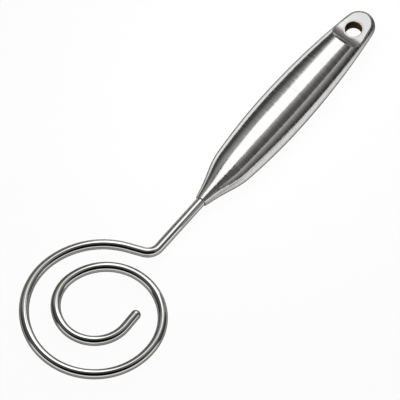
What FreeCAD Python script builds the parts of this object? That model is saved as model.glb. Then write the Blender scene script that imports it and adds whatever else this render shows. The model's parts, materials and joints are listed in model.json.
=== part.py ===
"""Dough whisk: one bent steel wire set in a hollow handle with a hanging eye.

Millimetres. The origin is the centre of the hanging hole, +X runs along the handle to the
spiral, +Z is the axis of the hole. The handle is symmetric about z = 0, where its halves meet.
"""

import FreeCAD
import Part
import Sketcher
import math
import os

SIZES = [
    ("wire_diameter", 6.0, "gauge of the bent wire"),
    ("shank_length", 39.35, "straight wire from the handle mouth to the kick"),
    ("kick_radius", 8.67, "centreline radius of the sideways kick"),
    ("kick_turn", 68.3, "degrees turned in the kick"),
    ("lead_run", 9.6, "straight wire from the kick to the spiral"),
    ("coil_radius", 41.7, "centreline radius of the outer turn"),
    ("lead_step", 7.4, "extra radius where the wire enters the spiral"),
    ("lead_sweep", 59.0, "degrees of the entry arc"),
    ("outer_sweep", 194.2, "degrees of the outer turn"),
    ("middle_step", 8.3, "loss of radius from the outer to the middle turn"),
    ("middle_sweep", 165.5, "degrees of the middle turn"),
    ("inner_step", 10.4, "loss of radius from the middle to the inner turn"),
    ("inner_sweep", 191.6, "degrees of the inner turn"),
    ("end_run", 12.8, "straight wire at the domed end"),
    ("head_diameter", 9.0, "upset head on the tang"),
    ("head_thickness", 2.5, "length of the upset head"),
    ("handle_length", 158.9, "handle from mouth to tail"),
    ("wall", 0.8, "sheet thickness of the pressed halves"),
    ("mouth_round", 0.4, "rounded lip of the mouth"),
    ("neck_length", 23.7, "flared neck from mouth to shoulder"),
    ("shoulder_width", 23.3, "handle width where the neck meets the belly"),
    ("shoulder_thickness", 18.2, "handle thickness at the shoulder"),
    ("shoulder_blend", 1.9, "softness of the shoulder"),
    ("belly_station", 76.4, "distance of the widest section from the mouth"),
    ("belly_width", 30.4, "largest handle width"),
    ("belly_thickness", 24.0, "largest handle thickness"),
    ("tail_radius", 9.7, "plan radius of the rounded tail"),
    ("tail_rise", 1.5, "height of the uncut tail above the eye face"),
    ("hole_diameter", 10.0, "clear hole of the eyelet"),
    ("hole_inset", 14.9, "tail to the centre of the hole"),
    ("eye_thickness", 9.0, "thickness across the eye faces"),
    ("scoop_start", 3.0, "hole centre to the start of the scooped wall"),
    ("scoop_radius", 12.0, "radius of the scooped wall"),
    ("rim_round", 0.8, "rounding of the rim around the eye face"),
    ("eyelet_wall", 0.6, "sheet thickness of the eyelet"),
    ("eyelet_flare", 0.5, "width and depth of the flared eyelet lips"),
    ("lip_round", 0.4, "rounding of the eyelet mouths"),
    ("bush_setback", 7.0, "mouth to the front of the tang bush"),
    ("bush_length", 14.0, "length of the tang bush"),
    ("clearance", 0.05, "play between fitted pieces"),
    ("overrun", 2.0, "how far cutting forms run past the faces they cut"),
]

DOME_SHARE = 0.97
NECK_FLARE_SHARE = 0.69
OVAL_FULLNESS = math.sqrt(0.5)
NECK_STATIONS = 14
BODY_STATIONS = 20
TAIL_STATIONS = 8
NECK_RIB_SHARE = 1.5
RIDGE_SHARE = 0.25
END_RIB_SHARE = 1 / 3
TOUCHING = 1e-5

VECTOR = FreeCAD.Vector
CENTRE = VECTOR(0, 0, 0)
UP = VECTOR(0, 0, 1)
document = FreeCAD.newDocument("dough_whisk")


def size_values():
    """Write every size into one spreadsheet and return the values it holds."""
    sheet = document.addObject("Spreadsheet::Sheet", "Sizes")
    for row, (alias, value, meaning) in enumerate(SIZES, start=1):
        sheet.set(f"A{row}", meaning)
        sheet.set(f"B{row}", str(value))
        sheet.setAlias(f"B{row}", alias)
    document.recompute()
    return {alias: float(sheet.get(alias)) for alias, _, _ in SIZES}


size = size_values()


class Length:
    """A sum of shares of named sizes, as a number and as an expression."""

    def __init__(self, **shares):
        self.shares = shares

    @property
    def value(self):
        """The sum in millimetres."""
        return sum(share * size[alias] for alias, share in self.shares.items())

    @property
    def text(self):
        """The sum as an expression on the sheet."""
        return " + ".join(f"{share} * Sizes.{alias}" for alias, share in self.shares.items())

    def plus(self, **shares):
        """The sum with more shares in it."""
        return Length(**self.shares, **shares)

    def negated(self):
        """The sum with its sign changed."""
        return Length(**{alias: -share for alias, share in self.shares.items()})


MOUTH_X = Length(handle_length=1, hole_inset=-1)
BUSH_BACK = Length(bush_setback=1, bush_length=1)
TANG_START = MOUTH_X.plus(bush_setback=-1, bush_length=-1)
MOUTH_RADIUS = Length(wire_diameter=1 / 2, clearance=1, wall=1)
TANG_SEAT_RADIUS = Length(wire_diameter=1 / 2, clearance=1)
TAIL_HALF_THICKNESS = Length(eye_thickness=1 / 2, tail_rise=1)
HOLE_RADIUS = Length(hole_diameter=1 / 2)
EYE_FACE = Length(eye_thickness=1 / 2)


def origin_plane(body, role):
    """Return the named origin plane of a body."""
    return next(plane for plane in body.Origin.OriginFeatures if plane.Role == role)


def new_sketch(body, name, role, offset=None):
    """Add a sketch on an origin plane of a body, moved along its normal by an offset."""
    sketch = body.newObject("Sketcher::SketchObject", name)
    sketch.AttachmentSupport = [(origin_plane(body, role), "")]
    sketch.MapMode = "FlatFace"
    if offset:
        sketch.setExpression("AttachmentOffset.Base.z", offset.text)
    document.recompute()
    return sketch


def relate(sketch, kind, *elements):
    """Add a constraint without a dimension."""
    sketch.addConstraint(Sketcher.Constraint(kind, *elements))


def bind(sketch, name, length, kind, *elements):
    """Add a named dimension to a sketch and bind it to the sheet."""
    index = sketch.addConstraint(Sketcher.Constraint(kind, *elements, length.value))
    sketch.renameConstraint(index, name)
    sketch.setExpression(f"Constraints.{name}", length.text)


def locate(sketch, name, kind, edge, end, length):
    """Set the distance of a point from the sketch origin along one axis."""
    if abs(length.value) < TOUCHING:
        relate(sketch, "PointOnObject", edge, end, -1 if kind == "DistanceY" else -2)
    elif length.value > 0:
        bind(sketch, name, length, kind, -1, 1, edge, end)
    else:
        bind(sketch, name, length.negated(), kind, edge, end, -1, 1)


def circle_sketch(body, name, offset, diameter):
    """Add a circle about the X axis at a station of the tang."""
    sketch = new_sketch(body, name, "YZ_Plane", offset)
    edge = sketch.addGeometry(Part.Circle(CENTRE, UP, diameter.value / 2))
    relate(sketch, "Coincident", edge, 3, -1, 1)
    bind(sketch, "diameter", diameter, "Diameter", edge)
    return sketch


def polygon_sketch(body, name, corners):
    """Add a closed polygon in the XZ plane, each corner located from the origin."""
    sketch = new_sketch(body, name, "XZ_Plane")
    points = [VECTOR(x.value, z.value, 0) for x, z in corners]
    edges = [
        sketch.addGeometry(Part.LineSegment(point, points[(index + 1) % len(points)]))
        for index, point in enumerate(points)
    ]
    for index, edge in enumerate(edges):
        relate(sketch, "Coincident", edges[index - 1], 2, edge, 1)
        locate(sketch, f"x_{index}", "DistanceX", edge, 1, corners[index][0])
        locate(sketch, f"z_{index}", "DistanceY", edge, 1, corners[index][1])
    document.recompute()
    return sketch


def revolve(body, name, sketch):
    """Turn a profile about the Z axis."""
    feature = body.newObject("PartDesign::Revolution", name)
    feature.Profile = sketch
    feature.ReferenceAxis = (sketch, ["V_Axis"])
    document.recompute()
    return feature


def fillet(body, name, base, edges, radius):
    """Round the given edges of a feature."""
    feature = body.newObject("PartDesign::Fillet", name)
    numbered = enumerate(base.Shape.Edges, start=1)
    feature.Base = (base, [f"Edge{index}" for index, edge in numbered if holds(edges, edge)])
    feature.setExpression("Radius", radius.text)
    body.Tip = feature
    document.recompute()
    return feature


def holds(edges, edge):
    """Tell whether an edge is in a list."""
    return any(edge.isSame(other) for other in edges)


class WireRoute:
    """Draws the wire's centreline as a chain of tangent lines and arcs in one sketch."""

    def __init__(self, sketch, start):
        self.sketch = sketch
        self.start = start
        self.point = VECTOR(start.value, 0, 0)
        self.heading = 0.0
        self.last = None

    def chain(self, edge, near, far):
        """Fix a new edge to the end of the chain."""
        if self.last:
            relate(self.sketch, "Tangent", *self.last, edge, near)
        else:
            relate(self.sketch, "PointOnObject", edge, near, -1)
            relate(self.sketch, "Horizontal", edge)
            locate(self.sketch, "tang_start", "DistanceX", edge, near, self.start)
        self.last = (edge, far)

    def run(self, name, length):
        """Go straight on."""
        step = VECTOR(math.cos(self.heading), math.sin(self.heading), 0) * length.value
        edge = self.sketch.addGeometry(Part.LineSegment(self.point, self.point + step))
        self.chain(edge, 1, 2)
        bind(self.sketch, name, length, "Distance", edge)
        self.point = self.point + step

    def bend(self, name, radius, sweep_alias, side):
        """Turn along an arc, to the left for side 1 and to the right for side -1."""
        sweep = side * math.radians(size[sweep_alias])
        toward = self.heading + side * math.pi / 2
        centre = self.point + VECTOR(math.cos(toward), math.sin(toward), 0) * radius.value
        first = toward + math.pi
        last = first + sweep
        circle = Part.Circle(centre, UP, radius.value)
        edge = self.sketch.addGeometry(Part.ArcOfCircle(circle, min(first, last), max(first, last)))
        self.chain(edge, *((1, 2) if side > 0 else (2, 1)))
        bind(self.sketch, f"{name}_radius", radius, "Radius", edge)
        index = self.sketch.addConstraint(Sketcher.Constraint("Angle", edge, abs(sweep)))
        self.sketch.renameConstraint(index, f"{name}_sweep")
        self.sketch.setExpression(f"Constraints.{name}_sweep", f"Sizes.{sweep_alias} * 1 deg")
        self.point = centre + VECTOR(math.cos(last), math.sin(last), 0) * radius.value
        self.heading += sweep


def build_wire():
    """Build the wire: headed tang, shank, kick, spiral and domed end."""
    body = document.addObject("PartDesign::Body", "whisk_wire")
    sketch = new_sketch(body, "wire_route", "XY_Plane")
    coil = Length(coil_radius=1)
    route = WireRoute(sketch, TANG_START)
    route.run("shank", BUSH_BACK.plus(shank_length=1))
    route.bend("kick", Length(kick_radius=1), "kick_turn", -1)
    route.run("lead", Length(lead_run=1))
    route.bend("entry", coil.plus(lead_step=1), "lead_sweep", 1)
    route.bend("outer", coil, "outer_sweep", 1)
    route.bend("middle", coil.plus(middle_step=-1), "middle_sweep", 1)
    route.bend("inner", coil.plus(middle_step=-1, inner_step=-1), "inner_sweep", 1)
    route.run("end", Length(end_run=1))
    document.recompute()

    rod = body.newObject("PartDesign::AdditivePipe", "rod")
    rod.Profile = circle_sketch(body, "gauge", TANG_START, Length(wire_diameter=1))
    rod.Spine = (sketch, [])
    document.recompute()

    end = route.point
    rim = [edge for edge in rod.Shape.Edges if edge.CenterOfMass.isEqual(end, TOUCHING)]
    fillet(body, "domed_end", rod, rim, Length(wire_diameter=DOME_SHARE / 2))

    head = body.newObject("PartDesign::Pad", "tang_head")
    head.Profile = circle_sketch(body, "head_outline", TANG_START, Length(head_diameter=1))
    head.setExpression("Length", "Sizes.head_thickness")
    head.Reversed = True
    body.Tip = head
    document.recompute()
    return body


def soft_minimum(first, second, blend):
    """Return the smaller of two values, eased over the blend where they are close."""
    share = min(1.0, max(0.0, (blend + second - first) / (2 * blend)))
    return second + (first - second) * share - blend * share * (1 - share)


def half_outline(distance, shoulder, belly, rear_radius):
    """Return the half width of the handle at a distance from the mouth.

    A flared neck runs into a front arc and a rear arc that meet at the widest section.
    """
    share = distance / size["neck_length"]
    rise = share * (NECK_FLARE_SHARE + (1 - NECK_FLARE_SHARE) * share)
    neck = MOUTH_RADIUS.value + (shoulder - MOUTH_RADIUS.value) * rise
    from_belly = distance - size["belly_station"]
    reach = size["belly_station"] - size["neck_length"]
    drop = belly - shoulder
    radius = rear_radius if from_belly > 0 else (reach**2 + drop**2) / (2 * drop)
    arc = belly - radius + math.sqrt(radius**2 - from_belly**2)
    return soft_minimum(neck, arc, size["shoulder_blend"])


def rear_plan_radius():
    """Return the radius of the rear plan arc, which touches the tail circle."""
    reach = size["handle_length"] - size["belly_station"]
    half = size["belly_width"] / 2
    tail = size["tail_radius"]
    return (reach**2 + half**2 - 2 * tail * reach) / (2 * (half - tail))


def section(distance):
    """Return half width and half thickness of the handle at a distance from the mouth."""
    half_width = size["belly_width"] / 2
    half_thickness = size["belly_thickness"] / 2
    reach = size["handle_length"] - size["belly_station"]
    drop = half_thickness - TAIL_HALF_THICKNESS.value
    side_radius = (reach**2 + drop**2) / (2 * drop)
    width = half_outline(distance, size["shoulder_width"] / 2, half_width, rear_plan_radius())
    thickness = half_outline(distance, size["shoulder_thickness"] / 2, half_thickness, side_radius)
    return width, thickness


class Rib:
    """One cross-section of the handle form: a quarter oval from the flank up to the ridge."""

    def __init__(self, x, half_width, ridge_x, half_thickness):
        self.x = x
        self.half_width = half_width
        self.ridge_x = ridge_x
        self.half_thickness = half_thickness

    def poles(self, side):
        """Return the control points of the oval on one side."""
        y = side * self.half_width
        z = self.half_thickness
        return [VECTOR(self.x, y, 0), VECTOR(self.x, y, z), VECTOR(self.ridge_x, 0, z)]

    def chord(self):
        """Return the line across the foot of the section."""
        return Part.makeLine(VECTOR(self.x, self.half_width, 0), VECTOR(self.x, -self.half_width, 0))


def straight_ribs(first, last, inset):
    """Return ribs across the handle between two distances, closer together along the neck."""
    bend = min(last, size["neck_length"] * NECK_RIB_SHARE)
    distances = [first + (bend - first) * step / NECK_STATIONS for step in range(NECK_STATIONS)]
    if bend < last:
        distances += [bend + (last - bend) * step / BODY_STATIONS for step in range(BODY_STATIONS)]
    ribs = []
    for distance in distances + [last]:
        width, thickness = section(distance)
        x = MOUTH_X.value - distance
        ribs.append(Rib(x, width - inset, x, thickness - inset))
    return ribs


def whole_ribs(first, inset):
    """Return ribs from a distance at the mouth to the tail and round the tail circle."""
    radius = size["tail_radius"]
    centre = size["handle_length"] - radius
    lean = math.asin((centre - size["belly_station"]) / (rear_plan_radius() - radius))
    ribs = straight_ribs(first, centre + radius * math.sin(lean), inset)
    turn = (math.pi / 2 - lean) / TAIL_STATIONS
    ridge_step = (radius - inset) * RIDGE_SHARE / TAIL_STATIONS
    for step in range(1, TAIL_STATIONS + 1):
        angle = lean + turn * step
        _, thickness = section(centre + radius * math.sin(angle))
        x = MOUTH_X.value - centre - (radius - inset) * math.sin(angle)
        y = (radius - inset) * math.cos(angle)
        ribs.append(Rib(x, y, ribs[-1].ridge_x - ridge_step, thickness - inset))
    last = ribs.pop()
    half_width = (radius - inset) * turn * END_RIB_SHARE
    return ribs + [Rib(last.x, half_width, last.ridge_x, last.half_thickness), last]


def quarter_skin(ribs, side):
    """Return one quarter of the handle skin, whose control points follow the ribs."""
    degree = 3
    spans = len(ribs) - degree
    counts = [degree + 1] + [1] * (spans - 1) + [degree + 1]
    knots = [float(knot) for knot in range(spans + 1)]
    poles = [rib.poles(side) for rib in ribs]
    weights = [[1.0, OVAL_FULLNESS, 1.0] for _ in ribs]
    skin = Part.BSplineSurface()
    skin.buildFromPolesMultsKnots(
        poles, counts, [3, 3], knots, [0.0, 1.0], False, False, degree, 2, weights
    )
    return skin.toShape()


def lies_in(edge, axis, place):
    """Tell whether an edge lies in a plane across one axis."""
    return all(abs(getattr(point, axis) - place) < TOUCHING for point in edge.discretize(5))


def flat_face(edges):
    """Return the plane face that the edges enclose."""
    return Part.Face(Part.Wire(Part.sortEdges(edges)[0]))


def half_form(ribs):
    """Return the upper half of a handle form as a solid."""
    faces = [quarter_skin(ribs, 1), quarter_skin(ribs, -1)]
    edges = [edge for face in faces for edge in face.Edges]
    floor = [edge for edge in edges if lies_in(edge, "z", 0)]
    for rib in (ribs[0], ribs[-1]):
        if rib.half_width > TOUCHING:
            arch = [edge for edge in edges if lies_in(edge, "x", rib.x)]
            floor.append(rib.chord())
            faces.append(flat_face(arch + [rib.chord()]))
    faces.append(flat_face(floor))
    shell = Part.makeShell(faces)
    shell.sewShape()
    solid = Part.makeSolid(Part.Shell(shell.Faces))
    if solid.Volume < 0:
        solid.reverse()
    return solid


def shape_object(name, shape):
    """Add a computed shape to the document."""
    feature = document.addObject("Part::Feature", name)
    feature.Shape = shape
    return feature


def scoop_pocket(body, name, wall_share):
    """Cut the dished eye face into a half form, a share of the wall below the real face."""
    flat = EYE_FACE.plus(wall=-wall_share)
    radius = Length(scoop_radius=1, wall=wall_share)
    start = Length(scoop_start=1)
    behind = Length(hole_inset=-1, overrun=-2)
    top = EYE_FACE.plus(scoop_radius=1, belly_thickness=1)
    sketch = new_sketch(body, f"{name}_outline", "XZ_Plane")
    corner = VECTOR(behind.value, flat.value, 0)
    foot = VECTOR(start.value, flat.value, 0)
    crest = foot + VECTOR(radius.value, radius.value, 0)
    above = VECTOR(crest.x, top.value, 0)
    far = VECTOR(corner.x, top.value, 0)
    circle = Part.Circle(foot + VECTOR(0, radius.value, 0), UP, radius.value)
    floor = sketch.addGeometry(Part.LineSegment(corner, foot))
    scoop = sketch.addGeometry(Part.ArcOfCircle(circle, 3 * math.pi / 2, 2 * math.pi))
    front = sketch.addGeometry(Part.LineSegment(crest, above))
    lid = sketch.addGeometry(Part.LineSegment(above, far))
    back = sketch.addGeometry(Part.LineSegment(far, corner))
    relate(sketch, "Tangent", floor, 2, scoop, 1)
    relate(sketch, "Tangent", scoop, 2, front, 1)
    relate(sketch, "Coincident", front, 2, lid, 1)
    relate(sketch, "Coincident", lid, 2, back, 1)
    relate(sketch, "Coincident", back, 2, floor, 1)
    relate(sketch, "Horizontal", floor)
    relate(sketch, "Horizontal", lid)
    relate(sketch, "Vertical", front)
    relate(sketch, "Vertical", back)
    bind(sketch, "scoop_radius", radius, "Radius", scoop)
    locate(sketch, "behind", "DistanceX", floor, 1, behind)
    locate(sketch, "flat", "DistanceY", floor, 1, flat)
    locate(sketch, "start", "DistanceX", floor, 2, start)
    locate(sketch, "top", "DistanceY", lid, 1, top)
    document.recompute()
    pocket = body.newObject("PartDesign::Pocket", name)
    pocket.Profile = sketch
    pocket.Type = "ThroughAll"
    pocket.Midplane = True
    body.Tip = pocket
    document.recompute()
    return pocket


def rim_edges(shape):
    """Return the edges where the dished eye face meets the outside of a half."""
    dished = []
    for face in shape.Faces:
        flat = face.Surface.TypeId == "Part::GeomPlane" and lies_in_plane(face, EYE_FACE.value)
        round_wall = face.Surface.TypeId == "Part::GeomCylinder" and abs(face.Surface.Axis.y) > 1 / 2
        if flat or round_wall:
            dished.append(face)
    edges = [edge for face in dished for edge in face.Edges]
    return [edge for edge in edges if sum(edge.isSame(other) for other in edges) == 1]


def lies_in_plane(face, height):
    """Tell whether a face lies flat at one height."""
    return abs(face.BoundBox.ZMin - height) < TOUCHING and abs(face.BoundBox.ZMax - height) < TOUCHING


def build_half():
    """Build the outside of one pressed half, with its rounded tail, dished eye and rims."""
    body = document.addObject("PartDesign::Body", "pressed_half")
    body.BaseFeature = shape_object("half_blank", half_form(whole_ribs(0, 0)))
    document.recompute()
    dished = scoop_pocket(body, "dished_eye", 0)
    rounded = fillet(body, "eye_rim", dished, rim_edges(dished.Shape), Length(rim_round=1))
    mouth = [edge for edge in rounded.Shape.Edges if lies_in(edge, "x", MOUTH_X.value)]
    lip = [edge for edge in mouth if not lies_in(edge, "z", 0)]
    fillet(body, "mouth_lip", rounded, lip, Length(mouth_round=1))
    return body


def build_cavity():
    """Build the hollow of one pressed half."""
    body = document.addObject("PartDesign::Body", "half_hollow")
    ribs = whole_ribs(-size["overrun"], size["wall"])
    body.BaseFeature = shape_object("hollow_blank", half_form(ribs))
    document.recompute()
    scoop_pocket(body, "hollow_under_eye", 1)
    return body


def build_eyelet_seat():
    """Build the form that opens the eye face for the eyelet and its flared lip."""
    axis = Length()
    bore = HOLE_RADIUS.plus(eyelet_wall=1, clearance=1)
    lip = bore.plus(eyelet_flare=1)
    above = EYE_FACE.plus(overrun=1)
    corners = [
        (axis, axis),
        (bore, axis),
        (bore, EYE_FACE.plus(eyelet_flare=-1)),
        (lip, EYE_FACE),
        (lip, above),
        (axis, above),
    ]
    body = document.addObject("PartDesign::Body", "eyelet_seat")
    body.Tip = revolve(body, "seat", polygon_sketch(body, "seat_outline", corners))
    return body


def build_eyelet():
    """Build the eyelet: a sleeve flared at both ends, with rounded mouths."""
    outside = HOLE_RADIUS.plus(eyelet_wall=1)
    lip = outside.plus(eyelet_flare=1)
    neck = EYE_FACE.plus(eyelet_flare=-1)
    corners = [
        (HOLE_RADIUS, EYE_FACE.negated()),
        (lip, EYE_FACE.negated()),
        (outside, neck.negated()),
        (outside, neck),
        (lip, EYE_FACE),
        (HOLE_RADIUS, EYE_FACE),
    ]
    body = document.addObject("PartDesign::Body", "hanging_eyelet")
    sleeve = revolve(body, "sleeve", polygon_sketch(body, "sleeve_outline", corners))
    mouths = [edge for edge in sleeve.Shape.Edges if is_ring(edge, HOLE_RADIUS.value)]
    fillet(body, "mouths", sleeve, mouths, Length(lip_round=1))
    return body


def is_ring(edge, radius):
    """Tell whether an edge is a full circle of one radius."""
    return edge.Curve.TypeId == "Part::GeomCircle" and abs(edge.Curve.Radius - radius) < TOUCHING


def cut(name, base, tool):
    """Cut one object from another."""
    feature = document.addObject("Part::Cut", name)
    feature.Base = base
    feature.Tool = tool
    document.recompute()
    return feature


def mirrored(name, source):
    """Mirror an object through the plane where the halves meet."""
    feature = document.addObject("Part::Mirroring", name)
    feature.Source = source
    feature.Normal = UP
    document.recompute()
    return feature


def build_bush():
    """Build the bush that fills the neck around the tang."""
    inset = size["wall"] + size["clearance"]
    ribs = straight_ribs(size["bush_setback"], BUSH_BACK.value, inset)
    upper = shape_object("upper_bush", half_form(ribs))
    whole = document.addObject("Part::Fuse", "bush_blank")
    whole.Base = upper
    whole.Tool = mirrored("lower_bush", upper)
    whole.Refine = True
    bore = document.addObject("Part::Cylinder", "tang_bore")
    bore.setExpression("Radius", TANG_SEAT_RADIUS.text)
    bore.setExpression("Height", "Sizes.handle_length")
    bore.Placement = FreeCAD.Placement(CENTRE, FreeCAD.Rotation(UP, VECTOR(1, 0, 0)))
    return cut("tang_bush", whole, bore)


def build_parts():
    """Build every piece and return them."""
    wire = build_wire()
    hollow = cut("hollow_half", build_half(), build_cavity())
    upper = cut("upper_handle_shell", hollow, build_eyelet_seat())
    lower = mirrored("lower_handle_shell", upper)
    return [wire, upper, lower, build_eyelet(), build_bush()]


def export(pieces):
    """Check the whole document, then write each piece to its own file."""
    document.recompute()
    for feature in document.Objects:
        if "Invalid" in feature.State or "Error" in feature.State:
            raise RuntimeError(f"{feature.Label} did not build")
    os.makedirs("parts", exist_ok=True)
    for piece in pieces:
        shape = piece.Shape
        if shape.isNull() or not shape.isValid() or len(shape.Solids) != 1:
            raise RuntimeError(f"{piece.Label} is not one valid solid")
        shape.exportStep(f"parts/{piece.Label}.step")
        print(piece.Label, round(shape.Volume))


export(build_parts())
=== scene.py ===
"""Dough whisk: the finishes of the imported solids, a white table, soft studio light and the camera.

Metres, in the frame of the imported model: the hanging hole is the origin, +X runs along the handle
to the spiral and +Z is the axis of the hole.
"""

from __future__ import annotations

import json
import logging
import math
from dataclasses import dataclass, field
from enum import Enum
from typing import Any, NamedTuple

import bmesh
import bpy
from mathutils import Matrix, Quaternion, Vector

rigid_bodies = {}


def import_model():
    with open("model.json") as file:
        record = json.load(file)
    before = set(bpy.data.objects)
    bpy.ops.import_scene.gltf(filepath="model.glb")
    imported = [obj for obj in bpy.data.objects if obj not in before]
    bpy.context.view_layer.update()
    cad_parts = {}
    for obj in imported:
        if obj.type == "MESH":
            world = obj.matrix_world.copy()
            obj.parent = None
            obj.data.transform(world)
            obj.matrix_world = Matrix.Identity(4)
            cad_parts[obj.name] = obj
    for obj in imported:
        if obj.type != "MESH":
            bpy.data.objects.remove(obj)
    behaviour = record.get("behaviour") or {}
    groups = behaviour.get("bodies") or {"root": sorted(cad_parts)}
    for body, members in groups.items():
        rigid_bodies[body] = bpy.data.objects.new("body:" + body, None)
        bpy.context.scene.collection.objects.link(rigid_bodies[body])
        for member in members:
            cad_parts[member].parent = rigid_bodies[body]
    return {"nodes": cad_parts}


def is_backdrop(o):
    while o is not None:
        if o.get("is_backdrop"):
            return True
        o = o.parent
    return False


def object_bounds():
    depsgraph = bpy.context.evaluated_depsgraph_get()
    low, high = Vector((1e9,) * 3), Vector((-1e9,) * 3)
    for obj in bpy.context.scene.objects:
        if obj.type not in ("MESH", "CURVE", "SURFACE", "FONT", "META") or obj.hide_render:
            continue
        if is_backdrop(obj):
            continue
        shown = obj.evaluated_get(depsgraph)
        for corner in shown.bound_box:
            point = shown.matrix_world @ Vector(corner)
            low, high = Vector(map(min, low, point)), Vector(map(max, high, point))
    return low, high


Colour = tuple[float, float, float]
Socket = bpy.types.NodeSocket
Shader = bpy.types.Node

LOG = logging.getLogger("dough_whisk")
WHITE: Colour = (1.0, 1.0, 1.0)
UP = Vector((0.0, 0.0, 1.0))

# An area lamp gives one unit of radiance for each four watts per square metre.
LAMP_WATTS = 4.0

# A share times its rest is a quarter at most, so this brings the top of a hump to one.
HUMP_SCALE = 4.0


class Node(Enum):
    """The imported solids."""

    WIRE = "whisk_wire"
    UPPER_SHELL = "upper_handle_shell"
    LOWER_SHELL = "lower_handle_shell"
    EYELET = "hanging_eyelet"
    BUSH = "tang_bush"


class Rise(Enum):
    """The shapes of a rise from zero to one."""

    STRAIGHT = "LINEAR"
    SMOOTH = "SMOOTHSTEP"


class Span(NamedTuple):
    """The two ends of a range: where a share is zero, and where it is one."""

    zero: float
    one: float


def opaque(colour: Colour) -> tuple[float, ...]:
    """Give a colour full opacity."""
    return (*colour, 1.0)


def vector_field(x: float, y: float, z: float) -> Any:
    """Make a dataclass field that starts as a vector."""
    return field(default_factory=lambda: Vector((x, y, z)))


def add_to_scene(obj: bpy.types.Object) -> None:
    """Put an object in the scene."""
    bpy.context.scene.collection.objects.link(obj)


def flat_sheet(name: str, corners: list[Vector]) -> bpy.types.Object:
    """Make an object of one flat face.

    Args:
        name: The name of the object and its mesh.
        corners: The corners of the face, in order.

    Returns:
        The object, which isn't in the scene yet.
    """
    mesh = bpy.data.meshes.new(name)
    mesh.from_pydata(corners, [], [tuple(range(len(corners)))])
    return bpy.data.objects.new(name, mesh)


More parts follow.
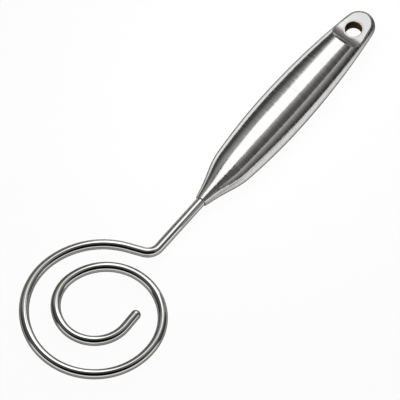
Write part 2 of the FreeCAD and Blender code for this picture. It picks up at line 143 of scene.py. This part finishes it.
class NodeSheet:
    """The shader nodes of one material or world, added and joined by name."""

    def __init__(self, owner: bpy.types.Material | bpy.types.World) -> None:
        """Start with no nodes.

        Args:
            owner: The new material or world.
        """
        owner.use_nodes = True
        self.owner = owner
        self.tree = owner.node_tree
        self.tree.nodes.clear()

    @classmethod
    def for_material(cls, name: str) -> NodeSheet:
        """Start a new material."""
        return cls(bpy.data.materials.new(name))

    def feed(self, socket: Socket, value: Any) -> None:
        """Set an input, or join an output to it.

        Args:
            socket: The input.
            value: A plain value or an output socket.
        """
        if isinstance(value, Socket):
            self.tree.links.new(value, socket)
        else:
            socket.default_value = value

    def add(self, kind: str, settings: dict[str, Any] | None = None, **sockets: Any) -> bpy.types.Node:
        """Add a node.

        Args:
            kind: The node's type, without its prefix.
            settings: Properties of the node itself.
            **sockets: Values or output sockets for its inputs, with _ for a space.

        Returns:
            The node.
        """
        node = self.tree.nodes.new("ShaderNode" + kind)
        for name, value in (settings or {}).items():
            setattr(node, name, value)
        for name, value in sockets.items():
            self.feed(node.inputs[name.replace("_", " ")], value)
        return node

    def place(self) -> bpy.types.NodeOutputs:
        """Give the X, Y and Z of a point in the object's own frame."""
        return self.add("SeparateXYZ", Vector=self.add("TexCoord").outputs["Object"]).outputs

    def mirrored(self, path: bpy.types.NodeOutputs) -> Socket:
        """Give one for the rays of reflections and of see-through surfaces."""
        return self.math("MAXIMUM", path["Is Glossy Ray"], path["Is Transmission Ray"])

    def math(self, operation: str, *values: float | Socket) -> Socket:
        """Add a sum on numbers.

        Args:
            operation: The sum's name.
            *values: Numbers or output sockets.

        Returns:
            The result's socket.
        """
        node = self.add("Math", {"operation": operation})
        for socket, value in zip(node.inputs, values):
            self.feed(socket, value)
        return node.outputs["Value"]

    def times(self, first: Socket, second: float | Socket) -> Socket:
        """Multiply two numbers."""
        return self.math("MULTIPLY", first, second)

    def above(self, value: Socket, start: float) -> Socket:
        """Measure how far a value is above a start, with zero below it."""
        return self.math("MAXIMUM", self.math("SUBTRACT", value, start), 0.0)

    def hump(self, share: Socket) -> Socket:
        """Rise to one where a share is a half, and fall to zero at both its ends."""
        return self.times(self.times(share, HUMP_SCALE), self.math("SUBTRACT", 1.0, share))

    def spread(self, share: Socket, span: Span) -> Socket:
        """Turn a share into a number of a range."""
        return self.add("MapRange", Value=share, To_Min=span.zero, To_Max=span.one).outputs["Result"]

    def line(self, value: Socket, span: Span, rise: Rise = Rise.STRAIGHT) -> Socket:
        """Turn a number of a range into a share, from zero before the range to one after it.

        Args:
            value: The number's socket.
            span: The range.
            rise: The shape of the rise.

        Returns:
            The share's socket.
        """
        settings = {"interpolation_type": rise.value}
        node = self.add("MapRange", settings, Value=value, From_Min=span.zero, From_Max=span.one)
        return node.outputs["Result"]

    def step(self, value: Socket, span: Span) -> Socket:
        """Turn a number of a range into a share with soft ends."""
        return self.line(value, span, Rise.SMOOTH)

    def dot(self, vector: Socket, axis: Vector) -> Socket:
        """Measure a vector along an axis.

        Args:
            vector: The vector's socket.
            axis: The axis, of length one.

        Returns:
            The length's socket.
        """
        node = self.add("VectorMath", {"operation": "DOT_PRODUCT"})
        self.feed(node.inputs[0], vector)
        self.feed(node.inputs[1], axis)
        return node.outputs["Value"]

    def mix(self, share: Socket, first: float | Socket, second: float | Socket) -> Socket:
        """Mix two numbers by the share of the second."""
        return self.add("Mix", {"data_type": "FLOAT"}, Factor=share, A=first, B=second).outputs["Result"]

    def tint(self, share: Socket, low: Colour, high: Colour) -> Socket:
        """Turn a share into a colour between two others.

        Args:
            share: The share's socket.
            low: The colour at zero.
            high: The colour at one.

        Returns:
            The colour's socket.
        """
        ramp = self.add("ValToRGB", Fac=share)
        for stop, colour in zip(ramp.color_ramp.elements, (low, high)):
            stop.color = opaque(colour)
        return ramp.outputs["Color"]

    def blend(self, share: Socket, first: Socket, second: Socket) -> Socket:
        """Blend two colours.

        Args:
            share: How much of the second colour shows.
            first: The colour at zero.
            second: The colour at one.

        Returns:
            The colour's socket.
        """
        node = self.add("Mix", {"data_type": "RGBA"})
        for socket, name in ((share, "Factor_Float"), (first, "A_Color"), (second, "B_Color")):
            target = next(item for item in node.inputs if item.identifier == name)
            self.feed(target, socket)
        return next(item for item in node.outputs if item.identifier == "Result_Color")

    def stretched_noise(self, scale: Vector, detail: float = 2.0) -> Socket:
        """Add noise that is stretched along the axes of the frame.

        Args:
            scale: Marks per metre along each axis.
            detail: The noise's finer octaves.

        Returns:
            The noise's socket.
        """
        place = self.add("TexCoord").outputs["Object"]
        mapped = self.add("Mapping", Vector=place, Scale=scale).outputs["Vector"]
        return self.add("TexNoise", Vector=mapped, Scale=1.0, Detail=detail).outputs["Fac"]

    def join(self, kind: str, first: Shader, second: Shader, **sockets: Any) -> Shader:
        """Join two shaders.

        Args:
            kind: The type of the joining node, without its prefix.
            first: One shader.
            second: The other shader.
            **sockets: Values or output sockets for the joining node's other inputs.

        Returns:
            The joining node.
        """
        node = self.add(kind, **sockets)
        self.feed(node.inputs[-2], first.outputs[0])
        self.feed(node.inputs[-1], second.outputs[0])
        return node

    def surface(self, shader: Shader) -> bpy.types.Material | bpy.types.World:
        """Join a shader to the output.

        Args:
            shader: The node whose first output is the surface.

        Returns:
            The finished material or world.
        """
        kind = "OutputWorld" if isinstance(self.owner, bpy.types.World) else "OutputMaterial"
        self.add(kind, Surface=shader.outputs[0])
        return self.owner


@dataclass(frozen=True)
class PolishedWire:
    """Drawn and polished stainless wire."""

    colour_low: Colour = (0.60, 0.60, 0.60)
    colour_high: Colour = (0.67, 0.67, 0.665)
    edge_tint: Colour = (0.03, 0.03, 0.03)
    roughness: Span = Span(0.04, 0.08)
    mark_scale: Vector = vector_field(900.0, 900.0, 900.0)
    mark_height: float = 0.000004

    def material(self) -> bpy.types.Material:
        """Build the material.

        Returns:
            The finished material.
        """
        sheet = NodeSheet.for_material("polished_wire_finish")
        marks = sheet.stretched_noise(self.mark_scale)
        bump = sheet.add("Bump", Height=marks, Distance=self.mark_height)
        shader = sheet.add(
            "BsdfPrincipled",
            Base_Color=sheet.tint(marks, self.colour_low, self.colour_high),
            Roughness=sheet.spread(marks, self.roughness),
            Normal=bump.outputs["Normal"],
            Metallic=1.0,
            Specular_Tint=opaque(self.edge_tint),
        )
        return sheet.surface(shader)


@dataclass(frozen=True)
class BrushedShell:
    """Stainless sheet with fine brush lines round the handle, and satin eye faces that are painted
    darker as shade, with a highlight painted pale along their rim.
    """

    colour_low: Colour = (0.58, 0.58, 0.575)
    colour_high: Colour = (0.68, 0.68, 0.675)
    edge_tint: Colour = (0.08, 0.08, 0.08)
    roughness: Span = Span(0.05, 0.25)
    line_scale: Vector = vector_field(1600.0, 40.0, 40.0)
    line_detail: float = 3.0
    line_range: Span = Span(0.32, 0.68)
    line_height: float = 0.000009
    anisotropy: float = 0.6
    anisotropy_turn: float = 0.25
    eye_face: float = 0.0045
    eye_fade: Span = Span(0.0006, 0.0002)
    scoop_start: float = 0.0030
    scoop_radius: float = 0.0120
    eye_roughness: float = 0.22
    rim_roughness: float = 0.50
    # Painted shade: the dished eye faces take a darker colour than the rest of the steel, on top of
    # their real satin roughness.
    eye_shaded_colour_low: Colour = (0.46, 0.46, 0.46)
    eye_shaded_colour_high: Colour = (0.53, 0.53, 0.526)
    # Painted highlight: the rim of the eye faces takes a near-white colour.
    rim_highlight_colour: Colour = (0.96, 0.96, 0.955)

    def eye_mask(self, sheet: NodeSheet) -> Socket:
        """Find the dished faces round the hanging hole: a flat floor that rises in an arc to the crown.

        Args:
            sheet: The material's nodes.

        Returns:
            One on the dished faces and zero elsewhere.
        """
        place = sheet.place()
        height = sheet.math("ABSOLUTE", place["Z"])
        run = sheet.math("MINIMUM", sheet.above(place["X"], self.scoop_start), self.scoop_radius)
        drop = sheet.math("SQRT", sheet.math("SUBTRACT", self.scoop_radius**2, sheet.times(run, run)))
        face = sheet.math("SUBTRACT", self.eye_face + self.scoop_radius, drop)
        off = sheet.math("ABSOLUTE", sheet.math("SUBTRACT", height, face))
        return sheet.step(off, self.eye_fade)

    def material(self) -> bpy.types.Material:
        """Build the material.

        Returns:
            The finished material.
        """
        sheet = NodeSheet.for_material("brushed_shell_finish")
        noise = sheet.stretched_noise(self.line_scale, self.line_detail)
        lines = sheet.line(noise, self.line_range)
        bump = sheet.add("Bump", Height=noise, Distance=self.line_height)
        tangent = sheet.add("Tangent", {"direction_type": "RADIAL", "axis": "X"})
        eye = self.eye_mask(sheet)
        rim = sheet.hump(eye)
        brushed = sheet.spread(lines, self.roughness)
        eye_satin = sheet.times(eye, self.eye_roughness)
        rim_satin = sheet.times(rim, self.rim_roughness)
        satin = sheet.math("MAXIMUM", eye_satin, rim_satin)
        skin = sheet.tint(lines, self.colour_low, self.colour_high)
        # Painted shade: a darker copy of the steel on the dished eye faces.
        eye_shaded_skin = sheet.tint(noise, self.eye_shaded_colour_low, self.eye_shaded_colour_high)
        # Painted highlight: a pale colour along the rim of the eye faces.
        rim_highlight_skin = sheet.tint(noise, self.eye_shaded_colour_high, self.rim_highlight_colour)
        shader = sheet.add(
            "BsdfPrincipled",
            Base_Color=sheet.blend(rim, sheet.blend(eye, skin, eye_shaded_skin), rim_highlight_skin),
            Roughness=sheet.math("MAXIMUM", brushed, satin),
            Normal=bump.outputs["Normal"],
            Tangent=tangent.outputs["Tangent"],
            Metallic=1.0,
            Anisotropic=self.anisotropy,
            Anisotropic_Rotation=self.anisotropy_turn,
            Specular_Tint=opaque(self.edge_tint),
        )
        return sheet.surface(shader)


@dataclass(frozen=True)
class EyeletSteel:
    """Bright flared lips, and a bore with turning marks that is painted dark brown and dull as the shade
    inside the hole.
    """

    lip_colour: Colour = (0.60, 0.58, 0.54)
    # Painted shade: the bore inside the hole takes a dark brown, dull colour.
    bore_shade_colour: Colour = (0.120, 0.078, 0.052)
    bore_gloss: float = 0.0
    bore_half_length: float = 0.0040
    edge_width: float = 0.0004
    roughness: Span = Span(0.25, 0.55)
    ring_scale: Vector = vector_field(60.0, 60.0, 1600.0)
    ring_height: float = 0.00003

    def material(self) -> bpy.types.Material:
        """Build the material.

        Returns:
            The finished material.
        """
        sheet = NodeSheet.for_material("eyelet_steel_finish")
        rings = sheet.stretched_noise(self.ring_scale)
        bump = sheet.add("Bump", Height=rings, Distance=self.ring_height)
        height = sheet.math("ABSOLUTE", sheet.place()["Z"])
        lip = sheet.line(height, Span(self.bore_half_length, self.bore_half_length + self.edge_width))
        # The bore's dark colour is painted shade inside the hole.
        shader = sheet.add(
            "BsdfPrincipled",
            Base_Color=sheet.tint(lip, self.bore_shade_colour, self.lip_colour),
            Roughness=sheet.spread(rings, self.roughness),
            Normal=bump.outputs["Normal"],
            Metallic=lip,
            Specular_IOR_Level=self.bore_gloss,
        )
        return sheet.surface(shader)


@dataclass(frozen=True)
class InnerSteel:
    """Turned steel that is left unpolished inside the neck."""

    colour_low: Colour = (0.36, 0.35, 0.34)
    colour_high: Colour = (0.48, 0.47, 0.46)
    roughness: Span = Span(0.35, 0.6)
    line_scale: Vector = vector_field(1800.0, 60.0, 60.0)

    def material(self) -> bpy.types.Material:
        """Build the material.

        Returns:
            The finished material.
        """
        sheet = NodeSheet.for_material("inner_steel_finish")
        lines = sheet.stretched_noise(self.line_scale)
        shader = sheet.add(
            "BsdfPrincipled",
            Base_Color=sheet.tint(lines, self.colour_low, self.colour_high),
            Roughness=sheet.spread(lines, self.roughness),
            Metallic=1.0,
        )
        return sheet.surface(shader)


def dress(obj: bpy.types.Object, material: bpy.types.Material) -> None:
    """Give an object one material.

    Args:
        obj: The object.
        material: Its finish.
    """
    for slot in obj.material_slots:
        slot.material = material
    if not obj.material_slots:
        obj.data.materials.append(material)
    LOG.info("dressed %s in %s", obj.name, material.name)


@dataclass
class SpiralWire:
    """The bent wire, and the bush that holds its tang inside the neck."""

    nodes: dict[str, bpy.types.Object]
    wire_finish: PolishedWire = field(default_factory=PolishedWire)
    bush_finish: InnerSteel = field(default_factory=InnerSteel)

    def dress(self) -> None:
        """Polish the wire and leave the bush as turned."""
        dress(self.nodes[Node.WIRE.value], self.wire_finish.material())
        dress(self.nodes[Node.BUSH.value], self.bush_finish.material())


@dataclass
class HollowHandle:
    """The two pressed halves, and the eyelet that lines the hanging hole."""

    nodes: dict[str, bpy.types.Object]
    shell_finish: BrushedShell = field(default_factory=BrushedShell)
    eyelet_finish: EyeletSteel = field(default_factory=EyeletSteel)

    def dress(self) -> None:
        """Brush both halves alike and line the hole."""
        shell = self.shell_finish.material()
        dress(self.nodes[Node.UPPER_SHELL.value], shell)
        dress(self.nodes[Node.LOWER_SHELL.value], shell)
        dress(self.nodes[Node.EYELET.value], self.eyelet_finish.material())


@dataclass
class Viewpoint:
    """The camera: a long lens that looks down on the whisk from its spiral end."""

    azimuth: float = math.radians(129.2)
    elevation: float = math.radians(63.8)
    roll: float = math.radians(-0.18)
    aim: Vector = vector_field(0.1437, -0.0010, 0.0)
    frame_width: float = 0.2368
    lens_mm: float = 1600.0
    sensor_mm: float = 36.0
    clip_share: float = 2.0

    @property
    def back(self) -> Vector:
        """The direction from the aim to the camera."""
        flat = Vector((math.sin(self.azimuth), -math.cos(self.azimuth), 0.0))
        return flat * math.cos(self.elevation) + UP * math.sin(self.elevation)

    @property
    def near_side(self) -> Vector:
        """The level direction towards the camera."""
        return Vector((self.back.x, self.back.y, 0.0)).normalized()

    @property
    def right(self) -> Vector:
        """The level direction to the right of the image."""
        return UP.cross(self.near_side)

    def place(self) -> None:
        """Make the camera and take it as the scene's own."""
        distance = self.frame_width * self.lens_mm / self.sensor_mm
        data = bpy.data.cameras.new("camera")
        data.lens = self.lens_mm
        data.sensor_width = self.sensor_mm
        data.clip_end = self.clip_share * distance
        camera = bpy.data.objects.new("camera", data)
        camera.location = self.aim + self.back * distance
        camera.rotation_mode = "QUATERNION"
        camera.rotation_quaternion = (-self.back).to_track_quat("-Z", "Y") @ Quaternion(UP, self.roll)
        add_to_scene(camera)
        bpy.context.scene.camera = camera


@dataclass
class Table:
    """A white table top that carries the belly of the handle and the far end of the spiral.

    Places on it are measured from the belly's contact. In reflections it carries painted shadow and
    light: a painted shadow makes it dim close to the left of the handle, it is painted brighter further
    left, and painted shade makes it darker behind the tail and grey beyond the neck.
    """

    belly_contact: Vector = vector_field(0.0676, 0.0, -0.0120)
    spiral_contact: Vector = vector_field(0.2840, 0.0, -0.0030)
    clearance: float = 0.0001
    size: float = 8.0
    lit_colour: Colour = (0.80, 0.80, 0.80)
    seen_glow: float = 0.960
    seen_colour: Colour = (0.07, 0.07, 0.07)
    mirrored_colour: Colour = (0.95, 0.95, 0.95)
    # Painted shadow close to the left of the handle, and painted light further left, in reflections.
    close_y: Span = Span(0.0, -0.012)
    close_glow: Span = Span(0.60, 0.10)
    left_y: Span = Span(-0.026, -0.042)
    left_glow: float = 1.10
    # Painted shade in reflections: a darker patch behind the tail.
    tail_x: Span = Span(-0.060, -0.112)
    tail_y: Span = Span(-0.006, 0.004)
    tail_shade_colour: Colour = (0.40, 0.40, 0.40)
    # Painted shade in reflections: grey beyond the neck.
    beyond_x: Span = Span(0.035, 0.085)
    beyond_glow: float = 0.27
    beyond_shade_colour: Colour = (0.55, 0.55, 0.55)

    def white(self, sheet: NodeSheet, glow: float | Socket, colour: Colour) -> Shader:
        """Add a white that still takes a shadow.

        Args:
            sheet: The material's nodes.
            glow: How bright it is with no light on it.
            colour: The colour that takes light and shadow.

        Returns:
            The shader.
        """
        light = sheet.add("Emission", Color=opaque(WHITE), Strength=glow)
        shade = sheet.add("BsdfDiffuse", Color=opaque(colour))
        return sheet.join("AddShader", light, shade)

    def mirror(self, sheet: NodeSheet) -> Shader:
        """Add what reflections show of the table, with its painted shadow, light and shade.

        Args:
            sheet: The material's nodes.

        Returns:
            The shader.
        """
        place = sheet.place()
        # Painted shadow beside the handle, and painted light further left.
        glow = sheet.spread(sheet.step(place["Y"], self.close_y), self.close_glow)
        glow = sheet.mix(sheet.step(place["Y"], self.left_y), glow, self.left_glow)
        # Painted shade behind the tail and beyond the neck.
        tail = sheet.times(sheet.step(place["X"], self.tail_x), sheet.step(place["Y"], self.tail_y))
        beside_handle = self.white(sheet, glow, self.mirrored_colour)
        shade_behind_tail = sheet.add("BsdfDiffuse", Color=opaque(self.tail_shade_colour))
        shade_beyond_neck = self.white(sheet, self.beyond_glow, self.beyond_shade_colour)
        under_handle = sheet.join("MixShader", beside_handle, shade_behind_tail, Fac=tail)
        beyond = sheet.step(place["X"], self.beyond_x)
        return sheet.join("MixShader", under_handle, shade_beyond_neck, Fac=beyond)

    def material(self) -> bpy.types.Material:
        """Build the surface: white where it is seen, white with painted shadow, light and shade where it
        is mirrored, and plain white cloth elsewhere.

        Returns:
            The finished material.
        """
        sheet = NodeSheet.for_material("white_table")
        path = sheet.add("LightPath").outputs
        cloth = sheet.add("BsdfDiffuse", Color=opaque(self.lit_colour))
        unseen = sheet.join("MixShader", cloth, self.mirror(sheet), Fac=sheet.mirrored(path))
        seen = self.white(sheet, self.seen_glow, self.seen_colour)
        return sheet.surface(sheet.join("MixShader", unseen, seen, Fac=path["Is Camera Ray"]))

    def build(self) -> None:
        """Lay the table top under its two contacts."""
        along = self.spiral_contact - self.belly_contact
        tilt = Matrix.Rotation(-math.atan2(along.z, along.x), 4, "Y")
        half = self.size / 2.0
        outline = ((-half, -half), (half, -half), (half, half), (-half, half))
        table = flat_sheet("table", [Vector((x, y, 0.0)) for x, y in outline])
        table.matrix_world = Matrix.Translation(self.belly_contact - UP * self.clearance) @ tilt
        add_to_scene(table)
        dress(table, self.material())
        table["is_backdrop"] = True


def show_in_reflections(obj: bpy.types.Object, material: bpy.types.Material) -> None:
    """Add a glowing part of the studio that only reflections show.

    Args:
        obj: The part.
        material: Its glow.
    """
    obj.visible_camera = False
    obj.visible_diffuse = False
    obj.visible_shadow = False
    add_to_scene(obj)
    dress(obj, material)
    obj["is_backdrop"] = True


@dataclass
class Softbox:
    """One lamp that hangs level over the handle, and the pane in its place that reflections show.

    The lamp reaches from tail_x to neck_x. The pane starts at back_x, is narrowest at narrow_x and
    widest at wide_x, and ends at neck_x too.
    """

    height: float = 0.12
    tail_x: float = -0.115
    back_x: float = -0.085
    narrow_x: float = -0.035
    wide_x: float = 0.045
    neck_x: float = 0.157
    back_left: float = -0.065
    narrow_left: float = -0.043
    wide_left: float = -0.086
    neck_left: float = -0.0575
    tail_right: float = 0.0190
    neck_right: float = 0.0135
    radiance: float = 1.6

    def hang_lamp(self) -> None:
        """Hang the lamp that lights the table."""
        low = Vector((self.tail_x, self.wide_left, self.height))
        high = Vector((self.neck_x, self.tail_right, self.height))
        data = bpy.data.lights.new("softbox", "AREA")
        data.shape = "RECTANGLE"
        data.size = high.x - low.x
        data.size_y = high.y - low.y
        data.energy = self.radiance * LAMP_WATTS * data.size * data.size_y
        lamp = bpy.data.objects.new("softbox", data)
        lamp.location = (low + high) / 2.0
        lamp.visible_camera = False
        lamp.visible_glossy = False
        add_to_scene(lamp)
        LOG.info("hung %s", lamp.name)

    def build(self) -> None:
        """Hang the lamp and its pane."""
        self.hang_lamp()
        outline = (
            (self.back_x, self.back_left),
            (self.narrow_x, self.narrow_left),
            (self.wide_x, self.wide_left),
            (self.neck_x, self.neck_left),
            (self.neck_x, self.neck_right),
            (self.back_x, self.tail_right),
        )
        pane = flat_sheet("softbox_pane", [Vector((x, y, self.height)) for x, y in outline])
        sheet = NodeSheet.for_material("softbox_glow")
        glow = sheet.add("Emission", Color=opaque(WHITE), Strength=self.radiance)
        show_in_reflections(pane, sheet.surface(glow))


@dataclass
class Card:
    """A graded card that only reflections show, dim at its foot and bright at its upper edge."""

    name: str
    start_foot: Vector
    end_foot: Vector
    start_top: Vector
    end_top: Vector
    heights: Span
    glow: Span
    fall: float = 1.0
    tint: Colour = (1.0, 0.97, 0.94)

    def material(self) -> bpy.types.Material:
        """Build the graded glow.

        Returns:
            The finished material.
        """
        sheet = NodeSheet.for_material(self.name + "_glow")
        share = sheet.math("POWER", sheet.line(sheet.place()["Z"], self.heights), self.fall)
        strength = sheet.spread(share, self.glow)
        return sheet.surface(sheet.add("Emission", Color=opaque(self.tint), Strength=strength))

    def build(self) -> None:
        """Stand the card in the studio."""
        corners = [self.start_foot, self.end_foot, self.end_top, self.start_top]
        show_in_reflections(flat_sheet(self.name, corners), self.material())


@dataclass
class SideCard(Card):
    """The card that leans along the right side of the handle."""

    name: str = "side_card"
    start_foot: Vector = vector_field(-0.16, 0.0726, -0.0145)
    end_foot: Vector = vector_field(0.140, 0.0726, 0.0132)
    start_top: Vector = vector_field(-0.16, 0.0500, 0.0515)
    end_top: Vector = vector_field(0.140, 0.0500, 0.0500)
    heights: Span = Span(0.0040, 0.0505)
    glow: Span = Span(0.05, 0.70)
    fall: float = 2.3


@dataclass
class TailCard(Card):
    """The card that stands behind the tail."""

    name: str = "tail_card"
    start_foot: Vector = vector_field(-0.12, -0.12, 0.0)
    end_foot: Vector = vector_field(-0.12, 0.03, 0.0)
    start_top: Vector = vector_field(-0.12, -0.12, 0.20)
    end_top: Vector = vector_field(-0.12, 0.03, 0.20)
    heights: Span = Span(0.0, 0.20)
    glow: Span = Span(0.14, 0.60)


@dataclass
class NeckCard(Card):
    """The dim card that stands over the right side of the neck."""

    name: str = "neck_card"
    start_foot: Vector = vector_field(0.095, 0.0600, 0.0360)
    end_foot: Vector = vector_field(0.200, 0.0600, 0.0360)
    start_top: Vector = vector_field(0.095, 0.0600, 0.1500)
    end_top: Vector = vector_field(0.200, 0.0600, 0.1500)
    heights: Span = Span(0.036, 0.150)
    glow: Span = Span(0.11, 0.14)


@dataclass
class Walls:
    """The walls and ceiling of the studio, which only reflections show.

    The far wall is dim at its foot and brighter above, with a tall window in its middle. The ceiling
    glows round the softbox. The near side is dark, down to a low pale card. Places are parts of a
    direction of length one from the middle of the studio.
    """

    view: Viewpoint
    centre: Vector
    radius: float = 1.6
    ribs: int = 48
    rings: int = 24
    far_near: Span = Span(-0.28, -0.48)
    wall_glow: float = 0.08
    wall_rise: float = 1.0
    wall_rise_start: float = 0.37
    window_glow: float = 3.0
    window_foot: float = 0.085
    window_left: Span = Span(-0.21, 0.0)
    window_right: Span = Span(0.35, 0.05)
    ceiling_height: Span = Span(0.50, 0.72)
    ceiling_glow: Span = Span(0.05, 0.115)
    halo_glow: float = 3.0
    halo_end: float = 0.53
    halo_reach: float = 0.41
    halo_right: Span = Span(0.10, 0.30)
    dark_share: float = 0.97
    dark_near: Span = Span(0.12, 0.40)
    dark_across: Span = Span(0.95, 0.50)
    card_glow: float = 1.15
    card_height: Span = Span(0.44, 0.32)
    card_near: Span = Span(0.10, 0.30)
    left_tint: Colour = (0.98, 1.0, 0.95)
    right_tint: Colour = (1.0, 0.96, 0.93)
    tint_sideways: Span = Span(-0.3, 0.3)

    def far_wall(self, sheet: NodeSheet, height: Socket, right: Socket) -> Socket:
        """Work out how bright the far wall is.

        Args:
            sheet: The material's nodes.
            height: How high a direction points.
            right: How far it points to the right of the image.

        Returns:
            The brightness, where one is white.
        """
        rise = sheet.above(height, self.wall_rise_start)
        wall = sheet.math("MULTIPLY_ADD", rise, self.wall_rise, self.wall_glow)
        pane = sheet.times(sheet.step(right, self.window_left), sheet.step(right, self.window_right))
        window = sheet.times(sheet.above(height, self.window_foot), pane)
        return sheet.math("MULTIPLY_ADD", window, self.window_glow, wall)

    def ceiling(self, sheet: NodeSheet, height: Socket, sideways: Socket, right: Socket) -> Socket:
        """Work out how bright the ceiling is, with a halo beside the softbox.

        Args:
            sheet: The material's nodes.
            height: How high a direction points.
            sideways: How far it points to the right side of the handle.
            right: How far it points to the right of the image.

        Returns:
            The brightness, where one is white.
        """
        plain = sheet.spread(sheet.step(height, self.ceiling_height), self.ceiling_glow)
        lean = sheet.math("ABSOLUTE", sheet.math("SINE", sheet.math("ARCTAN2", sideways, height)))
        inside = sheet.math("MAXIMUM", sheet.math("SUBTRACT", self.halo_end, lean), 0.0)
        inside = sheet.math("MINIMUM", inside, self.halo_reach)
        halo = sheet.times(sheet.times(inside, inside), self.halo_glow)
        return sheet.math("MULTIPLY_ADD", halo, sheet.step(right, self.halo_right), plain)

    def strength(self, sheet: NodeSheet, direction: Socket) -> Socket:
        """Work out how bright the studio is in a direction.

        Args:
            sheet: The material's nodes.
            direction: The direction from the middle of the studio.

        Returns:
            The brightness, where one is white.
        """
        parts = sheet.add("SeparateXYZ", Vector=direction).outputs
        height = parts["Z"]
        near = sheet.dot(direction, self.view.near_side)
        right = sheet.dot(direction, self.view.right)
        ceiling = self.ceiling(sheet, height, parts["Y"], right)
        level = sheet.mix(sheet.step(near, self.far_near), ceiling, self.far_wall(sheet, height, right))
        across = sheet.step(sheet.math("ABSOLUTE", right), self.dark_across)
        dark = sheet.times(sheet.step(near, self.dark_near), across)
        level = sheet.times(level, sheet.math("MULTIPLY_ADD", dark, -self.dark_share, 1.0))
        card = sheet.times(sheet.step(height, self.card_height), sheet.step(near, self.card_near))
        return sheet.math("MULTIPLY_ADD", card, self.card_glow, level)

    def build(self) -> None:
        """Build the walls as one dome."""
        sheet = NodeSheet.for_material("studio_walls")
        place = sheet.add("TexCoord").outputs["Object"]
        direction = sheet.add("VectorMath", {"operation": "NORMALIZE"}, Vector=place).outputs["Vector"]
        sideways = sheet.add("SeparateXYZ", Vector=direction).outputs["Y"]
        colour = sheet.tint(sheet.step(sideways, self.tint_sideways), self.left_tint, self.right_tint)
        glow = sheet.add("Emission", Color=colour, Strength=self.strength(sheet, direction))
        shape = bmesh.new()
        bmesh.ops.create_uvsphere(shape, u_segments=self.ribs, v_segments=self.rings, radius=self.radius)
        mesh = bpy.data.meshes.new("walls")
        shape.to_mesh(mesh)
        shape.free()
        walls = bpy.data.objects.new("walls", mesh)
        walls.location = self.centre
        show_in_reflections(walls, sheet.surface(glow))


@dataclass
class Air:
    """The world: a plain fill, and white where it is seen or mirrored."""

    level: Span = Span(0.1, 1.0)

    def build(self) -> None:
        """Set the world."""
        sheet = NodeSheet(bpy.data.worlds.new("studio_air"))
        path = sheet.add("LightPath").outputs
        seen = sheet.math("MAXIMUM", path["Is Camera Ray"], sheet.mirrored(path))
        strength = sheet.spread(seen, self.level)
        air = sheet.add("Background", Color=opaque(WHITE), Strength=strength)
        bpy.context.scene.world = sheet.surface(air)


def main() -> None:
    """Dress the whisk, build the studio and place the camera."""
    logging.basicConfig(level=logging.INFO)
    for leftover in list(bpy.data.objects):
        bpy.data.objects.remove(leftover)
    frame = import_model()
    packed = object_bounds()
    SpiralWire(frame["nodes"]).dress()
    HollowHandle(frame["nodes"]).dress()
    view = Viewpoint()
    view.place()
    Table().build()
    Softbox().build()
    SideCard().build()
    TailCard().build()
    NeckCard().build()
    Walls(view, (packed[0] + packed[1]) / 2.0).build()
    Air().build()
    bpy.context.scene.view_settings.view_transform = "Standard"


if __name__ == "__main__":
    main()
